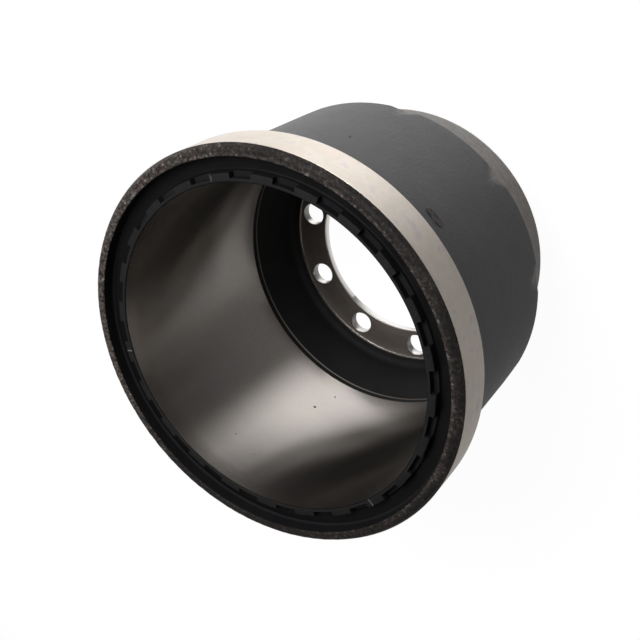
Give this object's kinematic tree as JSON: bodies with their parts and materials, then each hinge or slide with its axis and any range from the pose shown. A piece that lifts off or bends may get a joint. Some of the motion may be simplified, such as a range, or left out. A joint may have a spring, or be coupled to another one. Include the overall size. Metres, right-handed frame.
{
  "type": "brake drum",
  "caption": "Cast iron trailer brake drum: turned braking surface, castellated mouth with raised lip, and a bored and drilled wheel flange.",
  "frame": {"origin": "middle of the wheel face, the closed end that it stands on", "axes": "+Z along the drum's axis, out of its open mouth; +X through the middle of one wheel bolt hole"},
  "size_m": [0.364, 0.364, 0.2833],
  "materials": {
    "cast_iron": "cast and painted, with turned working faces"
  },
  "bodies": {
    "root": {"brake_drum": "cast_iron"}
  },
  "joints": []
}
